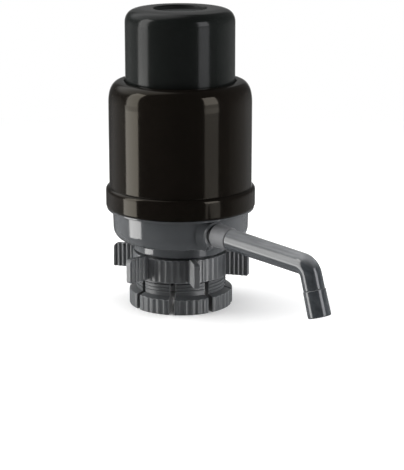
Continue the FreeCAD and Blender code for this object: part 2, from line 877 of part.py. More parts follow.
def lock_ring():
    """Fluted ring with six wings, its lip captive on the base and its bore threaded on the collet."""
    body = turned([
        (ring_bore, ring_bottom, 0.5),
        (ring_radius, ring_bottom, ring_edge),
        (ring_radius, ring_top, ring_edge),
        (lip_radius, ring_top, 0.3),
        (lip_radius, ring_top - ring_lip_thickness),
        (ring_bore, ring_top - ring_lip_thickness),
    ])
    flute_centre = ring_radius + ring_flute_radius - ring_flute_depth
    flute = rod(ring_flute_radius, ring_bottom - past, ring_top + past, flute_centre)
    fluted = body.cut(around(flute, ring_flutes, first_wing_angle + 180 / ring_flutes))
    return fluted.fuse(around(wing(), wing_count, first_wing_angle)).removeSplitter()


PIECES = [
    press_cap, bellows_head, intake_valve, bellows, return_spring, bellows_clamp_ring, clamp_screws,
    deck_plate, deck_seal, outlet_valve, outer_shell, base_body, neck_hub, water_elbow, elbow_seal,
    spout_arm, spout_collar, nozzle_sleeve, spout_o_rings, neck_gasket, collet, lock_ring,
]

os.makedirs("parts", exist_ok=True)
for piece in PIECES:
    shape = piece()
    name = piece.__name__
    shape.exportStep("parts/" + name + ".step")
    print(name, "solids", len(shape.Solids), "valid", shape.isValid(), "volume", round(shape.Volume))
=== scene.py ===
"""Water jug hand pump: what its pieces look like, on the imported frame.

Metres, +Z up, in the frame's own axes. Sizes written as a number times MM are millimetres. The sections
follow the pump as it is put together: base, water way, deck, bellows, shell, cap, spout, neck clamp.
"""

import math

import bmesh
import bpy
from mathutils import Matrix, Vector


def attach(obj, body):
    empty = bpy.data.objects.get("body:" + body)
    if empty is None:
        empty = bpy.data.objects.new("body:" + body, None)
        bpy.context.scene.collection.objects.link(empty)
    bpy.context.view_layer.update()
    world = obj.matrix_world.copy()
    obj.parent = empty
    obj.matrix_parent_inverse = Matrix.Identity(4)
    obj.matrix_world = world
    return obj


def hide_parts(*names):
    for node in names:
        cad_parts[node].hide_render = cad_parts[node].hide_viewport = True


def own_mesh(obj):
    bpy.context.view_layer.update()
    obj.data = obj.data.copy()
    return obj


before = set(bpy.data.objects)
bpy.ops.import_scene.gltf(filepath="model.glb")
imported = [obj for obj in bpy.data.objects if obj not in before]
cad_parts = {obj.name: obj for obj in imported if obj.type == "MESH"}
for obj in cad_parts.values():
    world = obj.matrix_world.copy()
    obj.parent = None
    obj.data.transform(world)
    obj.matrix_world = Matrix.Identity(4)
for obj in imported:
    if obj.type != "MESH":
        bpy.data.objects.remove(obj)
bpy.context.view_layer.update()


# ---- Studio ----
# A product studio: a white paper sweep, a tall strip light on each side whose images run down every
# upright wall, soft lights beside and above for the grey mouldings, and a dim room on the camera's
# side, so that black plastic stays black in the middle. Directions are degrees from +X.
MM = 0.001


def linear(hex_colour):
    """Linear RGBA of an sRGB colour such as "#5a5b5e"."""
    shares = [int(hex_colour[i:i + 2], 16) / 255 for i in (1, 3, 5)]
    return [s / 12.92 if s <= 0.04045 else ((s + 0.055) / 1.055) ** 2.4 for s in shares] + [1.0]


def add_node(tree, kind, sockets=None, **settings):
    """Adds a node, sets its properties, and gives each named socket a value or a link."""
    node = tree.nodes.new(kind)
    for name, value in settings.items():
        setattr(node, name, value)
    for name, value in (sockets or {}).items():
        if isinstance(value, bpy.types.NodeSocket):
            tree.links.new(value, node.inputs[name])
        else:
            node.inputs[name].default_value = value
    return node


# The camera stands 1.2 m from the axis, looks down a little, and is turned to the right, which makes
# room for the spout.
camera_direction = -41.67
camera_turn = 47.58
camera_dip = 14.57
camera_data = bpy.data.cameras.new("camera")
camera_data.lens = 128.54
camera_data.sensor_width = 36
camera_data.clip_start = 0.05
camera = bpy.data.objects.new("camera", camera_data)
camera.location = (0.8964, -0.7978, 0.3623)
camera.rotation_euler = (math.radians(90 - camera_dip), 0, math.radians(camera_turn))
bpy.context.scene.collection.objects.link(camera)
bpy.context.scene.camera = camera
bpy.context.scene.view_settings.view_transform = "Standard"


pump_middle = 0.1


def hang_light(name, direction, distance, level, size, radiance, colour="#ffffff", mirrored=True):
    """Soft light of an even radiance. A mirrored one hangs upright and its image shows in gloss; the
    others are aimed at the pump's middle and leave no image."""
    width, height = size
    data = bpy.data.lights.new(name, "AREA")
    data.shape = "RECTANGLE"
    data.size, data.size_y = width, height
    data.energy = radiance * math.pi * width * height
    data.color = linear(colour)[:3]
    light = bpy.data.objects.new(name, data)
    turn = math.radians(direction)
    light.location = (distance * math.cos(turn), distance * math.sin(turn), level)
    aim = Vector((0, 0, level if mirrored else pump_middle))
    light.rotation_euler = (light.location - aim).to_track_quat("Z", "Y").to_euler()
    light.visible_camera = False
    light.visible_glossy = mirrored
    bpy.context.scene.collection.objects.link(light)


# Each strip is hung in lengths, lowest first, as bright as its image is at that height of the pump.
left_strip = camera_direction - 83
left_strip_top = camera_direction - 81.5
right_strip = camera_direction + 50
strip_distance = 1.5
warm_white, cool_white = "#fffefc", "#fbfbff"
hang_light("left_strip_low", left_strip, strip_distance, -0.315, (0.70, 0.49), 4.4, warm_white)
hang_light("left_strip_middle", left_strip, strip_distance, -0.005, (0.70, 0.13), 3.0, warm_white)
hang_light("left_strip_high", left_strip_top, strip_distance, 0.83, (0.62, 1.54), 3.9, warm_white)
hang_light("right_strip_low", right_strip, strip_distance, -0.46, (0.62, 0.22), 8.0)
hang_light("right_strip_middle", right_strip, strip_distance, -0.2225, (0.62, 0.255), 1.0, cool_white)
hang_light("right_strip_high", right_strip, strip_distance, 0.0025, (0.62, 0.195), 2.2, cool_white)
hang_light("right_strip_top", right_strip, strip_distance, 0.21, (0.62, 0.22), 1.7, cool_white)
hang_light("right_strip_crest", right_strip, strip_distance, 0.76, (0.62, 0.88), 3.8, cool_white)

wall_distance, wall_height, wall_size = 1.6, 0.3, (1.3, 1.1)
hang_light("left_wall", camera_direction - 104, wall_distance, wall_height, wall_size, 9.0, mirrored=False)
hang_light("right_wall", camera_direction + 106, wall_distance, wall_height, wall_size, 8.0, mirrored=False)
hang_light("ceiling", camera_direction, 0.2, 1.8, (1.4, 1.4), 1.2, mirrored=False)


def heading(degrees, lift=0.0):
    """Unit vector so many degrees round from the camera's side, and so many up."""
    turn, rise = math.radians(camera_direction + degrees), math.radians(lift)
    return Vector((math.cos(rise) * math.cos(turn), math.cos(rise) * math.sin(turn), math.sin(rise)))


# The room is dim. Heights are sines of the angle upward, and widths cosines off a direction.
world = bpy.data.worlds.new("studio")
bpy.context.scene.world = world
world.use_nodes = True
sky = world.node_tree
sky.nodes.clear()
direction = add_node(sky, "ShaderNodeTexCoord").outputs["Generated"]
toward_back = add_node(
    sky, "ShaderNodeVectorMath", {0: direction, 1: heading(180)}, operation="DOT_PRODUCT",
).outputs["Value"]
height = add_node(sky, "ShaderNodeSeparateXYZ", {"Vector": direction}).outputs["Z"]
room = add_node(
    sky, "ShaderNodeMapRange",
    {"Value": toward_back, "From Min": -0.6, "From Max": 0.95, "To Min": 0.03, "To Max": 0.10},
    interpolation_type="SMOOTHSTEP",
)

# Pale patches of wall, one high up on the left and one low on each side: the direction of each, the
# cosines where it begins and where it is full, and how bright it is.
patches = (
    (heading(-125, 52), 0.75, 0.95, 1.0),
    (heading(-115, -30), 0.75, 0.98, 0.3),
    (heading(120, -30), 0.70, 0.98, 0.22),
)
room_light = room.outputs[0]
for toward_patch, begins, full, brightness in patches:
    nearness = add_node(
        sky, "ShaderNodeVectorMath", {0: direction, 1: toward_patch}, operation="DOT_PRODUCT",
    )
    patch = add_node(
        sky, "ShaderNodeMapRange",
        {"Value": nearness.outputs["Value"], "From Min": begins, "From Max": full, "To Max": brightness},
        interpolation_type="SMOOTHSTEP",
    )
    room_light = add_node(
        sky, "ShaderNodeMath", {0: room_light, 1: patch.outputs[0]}, operation="ADD",
    ).outputs[0]

# A narrow ceiling cloth hangs over the sweep, brighter towards its front edge, which shows as a crisp
# line round the cap's top.
cloth_half_width = math.radians(17)
aside = add_node(sky, "ShaderNodeVectorMath", {0: direction, 1: heading(90)}, operation="DOT_PRODUCT")
aside = add_node(sky, "ShaderNodeMath", {0: aside.outputs["Value"]}, operation="ABSOLUTE")
reach = add_node(
    sky, "ShaderNodeMath", {0: toward_back, 1: math.tan(cloth_half_width)}, operation="MULTIPLY",
)
inside = add_node(sky, "ShaderNodeMath", {0: reach.outputs[0], 1: aside.outputs[0]}, operation="SUBTRACT")
cloth_sides = add_node(
    sky, "ShaderNodeMapRange", {"Value": inside.outputs[0], "From Min": 0.0, "From Max": 0.06},
)
cloth_front = add_node(sky, "ShaderNodeMapRange", {"Value": height, "From Min": 0.71, "From Max": 0.69})
cloth_light = add_node(
    sky, "ShaderNodeMapRange",
    {"Value": height, "From Min": 0.25, "From Max": 0.70, "To Min": 0.09, "To Max": 0.45},
)
cloth_shape = add_node(
    sky, "ShaderNodeMath", {0: cloth_sides.outputs[0], 1: cloth_front.outputs[0]}, operation="MULTIPLY",
)
cloth = add_node(
    sky, "ShaderNodeMath", {0: cloth_shape.outputs[0], 1: cloth_light.outputs[0]}, operation="MULTIPLY",
)
room_light = add_node(
    sky, "ShaderNodeMath", {0: room_light, 1: cloth.outputs[0]}, operation="ADD",
).outputs[0]

# The sweep hangs behind as a low white band. The camera and clear plastic see white everywhere, and
# gloss sees it only where the band hangs.
sweep_width = add_node(
    sky, "ShaderNodeMapRange", {"Value": toward_back, "From Min": 0.95, "From Max": 0.985},
)
sweep_top = add_node(sky, "ShaderNodeMapRange", {"Value": height, "From Min": 0.035, "From Max": 0.0})
hanging = add_node(
    sky, "ShaderNodeMath", {0: sweep_width.outputs[0], 1: sweep_top.outputs[0]}, operation="MULTIPLY",
)
rays = add_node(sky, "ShaderNodeLightPath").outputs
in_gloss = add_node(
    sky, "ShaderNodeMath", {0: rays["Is Glossy Ray"], 1: hanging.outputs[0]}, operation="MULTIPLY",
)
seen_through = add_node(
    sky, "ShaderNodeMath", {0: rays["Is Camera Ray"], 1: rays["Is Transmission Ray"]}, operation="ADD",
)
white_seen = add_node(
    sky, "ShaderNodeMath",
    {0: in_gloss.outputs[0], 1: seen_through.outputs[0]}, operation="ADD", use_clamp=True,
)
strength = add_node(sky, "ShaderNodeMix", {"Factor": white_seen.outputs[0], 2: room_light, 3: 1.0})
backdrop = add_node(
    sky, "ShaderNodeBackground", {"Color": linear("#ffffff"), "Strength": strength.outputs[0]},
)
add_node(sky, "ShaderNodeOutputWorld", {"Surface": backdrop.outputs[0]})

# White paper on the table. It keeps the pump's shadow and fades to clear white away from it.
paper_radius = 6.0
fade_from, clear_from = 0.22, 0.75
floor_mesh = bmesh.new()
bmesh.ops.create_circle(floor_mesh, cap_ends=True, segments=96, radius=paper_radius)
floor_data = bpy.data.meshes.new("floor")
floor_mesh.to_mesh(floor_data)
floor_mesh.free()
floor = bpy.data.objects.new("floor", floor_data)
bpy.context.scene.collection.objects.link(floor)
floor.visible_glossy = False
floor.visible_shadow = False

sweep = bpy.data.materials.new("white_paper_sweep")
sweep.use_nodes = True
paper = sweep.node_tree
paper.nodes.clear()
place = add_node(paper, "ShaderNodeTexCoord").outputs["Object"]
from_pump = add_node(paper, "ShaderNodeVectorMath", {0: place}, operation="LENGTH").outputs["Value"]
fading = add_node(
    paper, "ShaderNodeMapRange", {"Value": from_pump, "From Min": fade_from, "From Max": clear_from},
    interpolation_type="SMOOTHSTEP",
)
fibre = add_node(paper, "ShaderNodeTexNoise", {"Vector": place, "Scale": 1 / (6 * MM), "Detail": 4.0})
tone = add_node(
    paper, "ShaderNodeMix",
    {"Factor": fibre.outputs["Fac"], 6: linear("#efefef"), 7: linear("#f4f4f4")}, data_type="RGBA",
)
matt = add_node(paper, "ShaderNodeBsdfDiffuse", {"Color": tone.outputs[2]})
# Painted shadow: near the pump the paper's glow is dimmed by ambient occlusion, on top of its real shadow.
near = add_node(paper, "ShaderNodeAmbientOcclusion", {"Distance": 80 * MM}, samples=8)
glow_with_painted_shadow = add_node(paper, "ShaderNodeMath", {0: near.outputs["AO"], 1: 0.42}, operation="MULTIPLY")
glow = add_node(paper, "ShaderNodeEmission", {"Color": linear("#ffffff"), "Strength": glow_with_painted_shadow.outputs[0]})
lit = add_node(paper, "ShaderNodeAddShader", {0: matt.outputs[0], 1: glow.outputs[0]})
clear = add_node(paper, "ShaderNodeEmission", {"Color": linear("#ffffff"), "Strength": 1.0})
faded = add_node(
    paper, "ShaderNodeMixShader", {0: fading.outputs[0], 1: lit.outputs[0], 2: clear.outputs[0]},
)
rays = add_node(paper, "ShaderNodeLightPath").outputs
seen = add_node(
    paper, "ShaderNodeMixShader", {0: rays["Is Camera Ray"], 1: matt.outputs[0], 2: faded.outputs[0]},
)
add_node(paper, "ShaderNodeOutputMaterial", {"Surface": seen.outputs[0]})
floor_data.materials.append(sweep)


# ---- Base and neck hub ----
# The bowl with its port, and the hub welded under it: both moulded in grey ABS from a polished tool.
# The eye gets an even cool grey with sharp, faintly wavy reflections and a few handling hairlines.
def new_finish(name):
    """A named material with an empty node tree."""
    material = bpy.data.materials.new(name)
    material.use_nodes = True
    material.node_tree.nodes.clear()
    return material, material.node_tree


def dress(material, *node_names):
    """Gives the named CAD nodes one material, in place of the grey that they come with."""
    for node_name in node_names:
        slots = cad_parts[node_name].data.materials
        slots.clear()
        slots.append(material)


polished_grey_abs, tree = new_finish("polished_grey_abs")
place = add_node(tree, "ShaderNodeTexCoord").outputs["Object"]
flow = add_node(tree, "ShaderNodeTexNoise", {"Vector": place, "Scale": 1 / (22 * MM), "Detail": 2.0})
tone = add_node(
    tree, "ShaderNodeMix",
    {"Factor": flow.outputs["Fac"], 6: linear("#434547"), 7: linear("#4d4f51")}, data_type="RGBA",
)
brushed = add_node(tree, "ShaderNodeMapping", {"Vector": place, "Scale": (1.0, 1.0, 0.12)})
hairlines = add_node(
    tree, "ShaderNodeTexNoise", {"Vector": brushed.outputs[0], "Scale": 1 / (1.1 * MM), "Detail": 3.0},
)
gloss = add_node(
    tree, "ShaderNodeMapRange",
    {"Value": hairlines.outputs["Fac"], "From Min": 0.35, "From Max": 0.75, "To Min": 0.08, "To Max": 0.16},
)
sink = add_node(tree, "ShaderNodeTexNoise", {"Vector": place, "Scale": 1 / (14 * MM), "Detail": 1.0})
wave = add_node(
    tree, "ShaderNodeBump", {"Strength": 1.0, "Distance": 0.05 * MM, "Height": sink.outputs["Fac"]},
)
surface = add_node(
    tree, "ShaderNodeBsdfPrincipled",
    {"Base Color": tone.outputs[2], "Roughness": gloss.outputs[0], "IOR": 1.54, "Specular IOR Level": 0.85,
     "Normal": wave.outputs[0]},
)
add_node(tree, "ShaderNodeOutputMaterial", {"Surface": surface.outputs[0]})
dress(polished_grey_abs, "base_body", "neck_hub")


# ---- Water elbow, deck and valve ----
# The elbow, of black polypropylene, is welded into the base and shows only as a dark ring behind the
# spout's collar: satin, and a little cloudy.
black_pp, tree = new_finish("satin_black_polypropylene")
place = add_node(tree, "ShaderNodeTexCoord").outputs["Object"]
cloud = add_node(tree, "ShaderNodeTexNoise", {"Vector": place, "Scale": 1 / (12 * MM), "Detail": 3.0})
tone = add_node(
    tree, "ShaderNodeMix",
    {"Factor": cloud.outputs["Fac"], 6: linear("#101112"), 7: linear("#17181a")}, data_type="RGBA",
)
surface = add_node(
    tree, "ShaderNodeBsdfPrincipled",
    {"Base Color": tone.outputs[2], "Roughness": 0.4, "IOR": 1.49, "Specular IOR Level": 0.3},
)
add_node(tree, "ShaderNodeOutputMaterial", {"Surface": surface.outputs[0]})
dress(black_pp, "water_elbow")

# The deck drops on the base's ledge. It is natural polypropylene, moulded uncoloured: milky and waxy,
# with a soft broad sheen and faint cloudy flow marks.
natural_pp, tree = new_finish("natural_polypropylene")
place = add_node(tree, "ShaderNodeTexCoord").outputs["Object"]
cloud = add_node(tree, "ShaderNodeTexNoise", {"Vector": place, "Scale": 1 / (16 * MM), "Detail": 3.0})
tone = add_node(
    tree, "ShaderNodeMix",
    {"Factor": cloud.outputs["Fac"], 6: linear("#c3c4c0"), 7: linear("#d3d4d1")}, data_type="RGBA",
)
gloss = add_node(
    tree, "ShaderNodeMapRange",
    {"Value": cloud.outputs["Fac"], "From Min": 0.3, "From Max": 0.7, "To Min": 0.38, "To Max": 0.5},
)
surface = add_node(
    tree, "ShaderNodeBsdfPrincipled",
    {"Base Color": tone.outputs[2], "Roughness": gloss.outputs[0], "IOR": 1.49},
)
add_node(tree, "ShaderNodeOutputMaterial", {"Surface": surface.outputs[0]})
dress(natural_pp, "deck_plate")

# Seals and valves are pressed from food-grade silicone: the seals brick red, the umbrella valves clear
# white. Silicone is matt with a faint bloom, and its moulding flash leaves it slightly uneven.
red_silicone, tree = new_finish("moulded_red_silicone")
place = add_node(tree, "ShaderNodeTexCoord").outputs["Object"]
bloom = add_node(tree, "ShaderNodeTexNoise", {"Vector": place, "Scale": 1 / (2.5 * MM), "Detail": 4.0})
tone = add_node(
    tree, "ShaderNodeMix",
    {"Factor": bloom.outputs["Fac"], 6: linear("#93432f"), 7: linear("#a2503a")}, data_type="RGBA",
)
grain = add_node(
    tree, "ShaderNodeBump", {"Strength": 0.6, "Distance": 0.02 * MM, "Height": bloom.outputs["Fac"]},
)
surface = add_node(
    tree, "ShaderNodeBsdfPrincipled",
    {"Base Color": tone.outputs[2], "Roughness": 0.62, "IOR": 1.41, "Normal": grain.outputs[0]},
)
add_node(tree, "ShaderNodeOutputMaterial", {"Surface": surface.outputs[0]})
dress(red_silicone, "elbow_seal", "deck_seal")

white_silicone, tree = new_finish("moulded_white_silicone")
place = add_node(tree, "ShaderNodeTexCoord").outputs["Object"]
bloom = add_node(tree, "ShaderNodeTexNoise", {"Vector": place, "Scale": 1 / (2.5 * MM), "Detail": 4.0})
tone = add_node(
    tree, "ShaderNodeMix",
    {"Factor": bloom.outputs["Fac"], 6: linear("#bdbdb8"), 7: linear("#cfcfca")}, data_type="RGBA",
)
surface = add_node(
    tree, "ShaderNodeBsdfPrincipled",
    {"Base Color": tone.outputs[2], "Roughness": 0.55, "IOR": 1.41},
)
add_node(tree, "ShaderNodeOutputMaterial", {"Surface": surface.outputs[0]})
dress(white_silicone, "outlet_valve")


# ---- Bellows, spring and clamp ring ----
# The bellows is blow-moulded black EPDM rubber: deep matt black that catches a grey bloom on its folds.
# The clamp ring over its flange is natural polypropylene, held by four zinc-plated screws.
black_epdm, tree = new_finish("black_epdm_rubber")
place = add_node(tree, "ShaderNodeTexCoord").outputs["Object"]
bloom = add_node(tree, "ShaderNodeTexNoise", {"Vector": place, "Scale": 1 / (5 * MM), "Detail": 5.0})
tone = add_node(
    tree, "ShaderNodeMix",
    {"Factor": bloom.outputs["Fac"], 6: linear("#222224"), 7: linear("#303032")}, data_type="RGBA",
)
grain = add_node(
    tree, "ShaderNodeBump", {"Strength": 0.5, "Distance": 0.04 * MM, "Height": bloom.outputs["Fac"]},
)
surface = add_node(
    tree, "ShaderNodeBsdfPrincipled",
    {"Base Color": tone.outputs[2], "Roughness": 0.72, "IOR": 1.5, "Normal": grain.outputs[0]},
)
add_node(tree, "ShaderNodeOutputMaterial", {"Surface": surface.outputs[0]})


def smooth_piece(shape, name, material):
    """The finished bmesh as a smooth object of one material, standing in the scene."""
    data = bpy.data.meshes.new(name)
    shape.to_mesh(data)
    shape.free()
    data.shade_smooth()
    data.materials.append(material)
    piece = bpy.data.objects.new(name, data)
    bpy.context.scene.collection.objects.link(piece)
    return piece


# The tube stands on the deck from its flange and is cuffed at both ends. Its wall is spun from one
# outline, and its folds are rounded as the blown parison leaves them.
tube_bottom, tube_top = 77.2 * MM, 193.5 * MM
tube_wall = 1.3 * MM
tube_valley = 29.6 * MM
tube_crest = 35.0 * MM
tube_flange = 35.2 * MM
flange_height = 1.5 * MM
cuff_height = 6.0 * MM
fold_count = 10
fold_round = 0.7 * MM
tube_steps = 96
fold_pitch = (tube_top - tube_bottom - 2 * cuff_height) / fold_count
valleys = [tube_bottom + cuff_height + fold * fold_pitch for fold in range(fold_count)]
one_fold = ((tube_valley + tube_wall, 0.0), (tube_crest, fold_pitch / 2))
outside = [(radius, valley + rise) for valley in valleys for radius, rise in one_fold]
outside.append((tube_valley + tube_wall, tube_top - cuff_height))
tube_outline = [
    (tube_valley, tube_bottom),
    (tube_flange, tube_bottom),
    (tube_flange, tube_bottom + flange_height),
    (tube_valley + tube_wall, tube_bottom + flange_height),
    *outside,
    (tube_valley + tube_wall, tube_top),
    (tube_valley, tube_top),
    *[(radius - tube_wall, height) for radius, height in reversed(outside)],
]
tube = bmesh.new()
corners = [tube.verts.new((radius, 0, height)) for radius, height in tube_outline]
sides = [tube.edges.new((corners[k - 1], corners[k])) for k in range(len(corners))]
bmesh.ops.spin(
    tube, geom=corners + sides, cent=(0, 0, 0), axis=(0, 0, 1), angle=math.tau, steps=tube_steps,
    use_merge=True,
)
bmesh.ops.remove_doubles(tube, verts=tube.verts, dist=0.001 * MM)
bmesh.ops.recalc_face_normals(tube, faces=tube.faces)

# The creases run level round the tube, between the flange and the top edge.
tolerance = 0.01 * MM
end_margin = 0.1 * MM
creases = [
    edge for edge in tube.edges
    if abs(edge.verts[0].co.z - edge.verts[1].co.z) < tolerance
    and abs(edge.verts[0].co.xy.length - edge.verts[1].co.xy.length) < tolerance
    and tube_bottom + flange_height < edge.verts[0].co.z < tube_top - end_margin
]
bmesh.ops.bevel(
    tube, geom=creases, offset=fold_round, segments=3, profile=0.5, affect="EDGES", material=-1,
)
bmesh.ops.recalc_face_normals(tube, faces=tube.faces)
bellows_tube = smooth_piece(tube, "bellows_tube", black_epdm)
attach(bellows_tube, "housing")
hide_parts("bellows")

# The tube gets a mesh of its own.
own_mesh(bellows_tube)

# The clamp ring presses the flange down on the deck. Its steel screws are plated with bright zinc, which
# is faintly spangled and a little uneven in its shine.
dress(natural_pp, "bellows_clamp_ring")

zinc_plate, tree = new_finish("bright_zinc_plate")
place = add_node(tree, "ShaderNodeTexCoord").outputs["Object"]
spangle = add_node(tree, "ShaderNodeTexNoise", {"Vector": place, "Scale": 1 / (0.9 * MM), "Detail": 3.0})
gloss = add_node(
    tree, "ShaderNodeMapRange",
    {"Value": spangle.outputs["Fac"], "From Min": 0.3, "From Max": 0.7, "To Min": 0.22, "To Max": 0.4},
)
tone = add_node(
    tree, "ShaderNodeMix",
    {"Factor": spangle.outputs["Fac"], 6: linear("#b9bcc0"), 7: linear("#cdd0d2")}, data_type="RGBA",
)
surface = add_node(
    tree, "ShaderNodeBsdfPrincipled",
    {"Base Color": tone.outputs[2], "Roughness": gloss.outputs[0], "Metallic": 1.0},
)
add_node(tree, "ShaderNodeOutputMaterial", {"Surface": surface.outputs[0]})
dress(zinc_plate, "clamp_screws")

# The return spring is coiled from hard-drawn stainless wire: bright steel with fine drawing lines that
# run along the wire, which at this pitch is nearly round the coil.
drawn_steel, tree = new_finish("drawn_stainless_wire")
place = add_node(tree, "ShaderNodeTexCoord").outputs["Object"]
along = add_node(tree, "ShaderNodeMapping", {"Vector": place, "Scale": (0.15, 0.15, 1.0)})
lines = add_node(
    tree, "ShaderNodeTexNoise", {"Vector": along.outputs[0], "Scale": 1 / (0.25 * MM), "Detail": 3.0},
)
gloss = add_node(
    tree, "ShaderNodeMapRange",
    {"Value": lines.outputs["Fac"], "From Min": 0.3, "From Max": 0.7, "To Min": 0.18, "To Max": 0.34},
)
tone = add_node(
    tree, "ShaderNodeMix",
    {"Factor": lines.outputs["Fac"], 6: linear("#b5b4b0"), 7: linear("#c9c8c4")}, data_type="RGBA",
)
surface = add_node(
    tree, "ShaderNodeBsdfPrincipled",
    {"Base Color": tone.outputs[2], "Roughness": gloss.outputs[0], "Metallic": 1.0},
)
add_node(tree, "ShaderNodeOutputMaterial", {"Surface": surface.outputs[0]})

# A round of wire is stood upright beside the axis and spun up seven even turns.
coil_radius = 22.0 * MM
wire_radius = 1.1 * MM
wire_sides = 12
coil_turns = 7
steps_per_turn = 48
coil_steps = steps_per_turn * coil_turns
coil_rise = tube_top - tube_bottom - 2 * wire_radius
coil = bmesh.new()
section = bmesh.ops.create_circle(coil, cap_ends=False, segments=wire_sides, radius=wire_radius)["verts"]
bmesh.ops.rotate(
    coil, verts=section, cent=(0, 0, 0),
    matrix=Matrix.Rotation(math.pi / 2, 3, "X") @ Matrix.Rotation(math.pi / wire_sides, 3, "Z"),
)
bmesh.ops.translate(coil, verts=section, vec=(coil_radius, 0, tube_bottom + wire_radius))
bmesh.ops.spin(
    coil, geom=section + list(coil.edges), cent=(0, 0, 0), axis=(0, 0, 1), angle=math.tau * coil_turns,
    steps=coil_steps, dvec=(0, 0, coil_rise / coil_steps), use_merge=False,
)
bmesh.ops.holes_fill(coil, edges=[edge for edge in coil.edges if edge.is_boundary], sides=0)
bmesh.ops.recalc_face_normals(coil, faces=coil.faces)
spring_coil = smooth_piece(coil, "spring_coil", drawn_steel)
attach(spring_coil, "housing")
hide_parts("return_spring")
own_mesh(spring_coil)


# ---- Bellows head and intake valve ----
# The disc that snaps into the cap and shuts the bellows' top, in the deck's natural polypropylene,
# with a white silicone umbrella valve pulled through its middle hole.
dress(natural_pp, "bellows_head")
dress(white_silicone, "intake_valve")


# ---- Outer shell ----
# The barrel with its shoulder and foot band, moulded in black ABS from a mirror-polished tool. Deep
# black with a brown cast, sharp strips of light, and hairlines from wiping that soften them a little.
polished_black_abs, tree = new_finish("polished_black_abs")
place = add_node(tree, "ShaderNodeTexCoord").outputs["Object"]
flow = add_node(tree, "ShaderNodeTexNoise", {"Vector": place, "Scale": 1 / (30 * MM), "Detail": 2.0})
tone = add_node(
    tree, "ShaderNodeMix",
    {"Factor": flow.outputs["Fac"], 6: linear("#0e0c0a"), 7: linear("#15120f")}, data_type="RGBA",
)
wiped = add_node(tree, "ShaderNodeMapping", {"Vector": place, "Scale": (0.1, 0.1, 1.0)})
hairlines = add_node(
    tree, "ShaderNodeTexNoise", {"Vector": wiped.outputs[0], "Scale": 1 / (0.7 * MM), "Detail": 4.0},
)
gloss = add_node(
    tree, "ShaderNodeMapRange",
    {"Value": hairlines.outputs["Fac"], "From Min": 0.4, "From Max": 0.8, "To Min": 0.07, "To Max": 0.17},
)
sink = add_node(tree, "ShaderNodeTexNoise", {"Vector": place, "Scale": 1 / (26 * MM), "Detail": 1.0})
wave = add_node(
    tree, "ShaderNodeBump", {"Strength": 1.0, "Distance": 0.06 * MM, "Height": sink.outputs["Fac"]},
)
surface = add_node(
    tree, "ShaderNodeBsdfPrincipled",
    {"Base Color": tone.outputs[2], "Roughness": gloss.outputs[0], "IOR": 1.5, "Specular IOR Level": 0.28,
     "Specular Tint": linear("#fff6e2"), "Normal": wave.outputs[0]},
)
add_node(tree, "ShaderNodeOutputMaterial", {"Surface": surface.outputs[0]})
dress(polished_black_abs, "outer_shell")


# ---- Press cap ----
# The cap that the palm pushes, moulded in black ABS of a cooler batch than the shell. Its tool is
# fine-ground rather than polished, so the strips spread softly, and palms have rubbed its dish dull.
satin_black_abs, tree = new_finish("satin_black_abs")
place = add_node(tree, "ShaderNodeTexCoord").outputs["Object"]
flow = add_node(tree, "ShaderNodeTexNoise", {"Vector": place, "Scale": 1 / (24 * MM), "Detail": 2.0})
tone = add_node(
    tree, "ShaderNodeMix",
    {"Factor": flow.outputs["Fac"], 6: linear("#141615"), 7: linear("#191b1a")}, data_type="RGBA",
)
wiped = add_node(tree, "ShaderNodeMapping", {"Vector": place, "Scale": (1.0, 1.0, 0.1)})
hairlines = add_node(
    tree, "ShaderNodeTexNoise", {"Vector": wiped.outputs[0], "Scale": 1 / (0.6 * MM), "Detail": 4.0},
)
gloss = add_node(
    tree, "ShaderNodeMapRange",
    {"Value": hairlines.outputs["Fac"], "From Min": 0.35, "From Max": 0.75, "To Min": 0.12, "To Max": 0.22},
)

# The dish lies below the rim, round the axis. It is dull all over, and paler on its floor.
dish_radius = 20 * MM
dish_low, dish_high = 210 * MM, 217 * MM
spot = add_node(tree, "ShaderNodeSeparateXYZ", {"Vector": place})
flat_spot = add_node(tree, "ShaderNodeCombineXYZ", {"X": spot.outputs["X"], "Y": spot.outputs["Y"]})
out_from_axis = add_node(tree, "ShaderNodeVectorMath", {0: flat_spot.outputs[0]}, operation="LENGTH")
across = add_node(
    tree, "ShaderNodeMapRange",
    {"Value": out_from_axis.outputs["Value"], "From Min": dish_radius, "From Max": 0.95 * dish_radius},
)
above = add_node(tree, "ShaderNodeMath", {0: spot.outputs["Z"], 1: dish_low}, operation="GREATER_THAN")
below = add_node(tree, "ShaderNodeMath", {0: spot.outputs["Z"], 1: dish_high}, operation="LESS_THAN")
facing = add_node(tree, "ShaderNodeNewGeometry").outputs["Normal"]
facing = add_node(tree, "ShaderNodeSeparateXYZ", {"Vector": facing})
faces_up = add_node(tree, "ShaderNodeMath", {0: facing.outputs["Z"], 1: 0.7}, operation="GREATER_THAN")
hollow = add_node(tree, "ShaderNodeMath", {0: across.outputs[0], 1: above.outputs[0]}, operation="MULTIPLY")
hollow = add_node(tree, "ShaderNodeMath", {0: hollow.outputs[0], 1: below.outputs[0]}, operation="MULTIPLY")
# The dish's floor, where it faces up, is coloured paler than the rest.
pale_dish_floor = add_node(
    tree, "ShaderNodeMath", {0: hollow.outputs[0], 1: faces_up.outputs[0]}, operation="MULTIPLY",
)
tone = add_node(
    tree, "ShaderNodeMix",
    {"Factor": pale_dish_floor.outputs[0], 6: tone.outputs[2], 7: linear("#3c3e3e")}, data_type="RGBA",
)
gloss = add_node(tree, "ShaderNodeMix", {"Factor": hollow.outputs[0], 2: gloss.outputs[0], 3: 0.6})
surface = add_node(
    tree, "ShaderNodeBsdfPrincipled",
    {"Base Color": tone.outputs[2], "Roughness": gloss.outputs[0], "IOR": 1.5, "Specular IOR Level": 0.24},
)
add_node(tree, "ShaderNodeOutputMaterial", {"Surface": surface.outputs[0]})
dress(satin_black_abs, "press_cap")
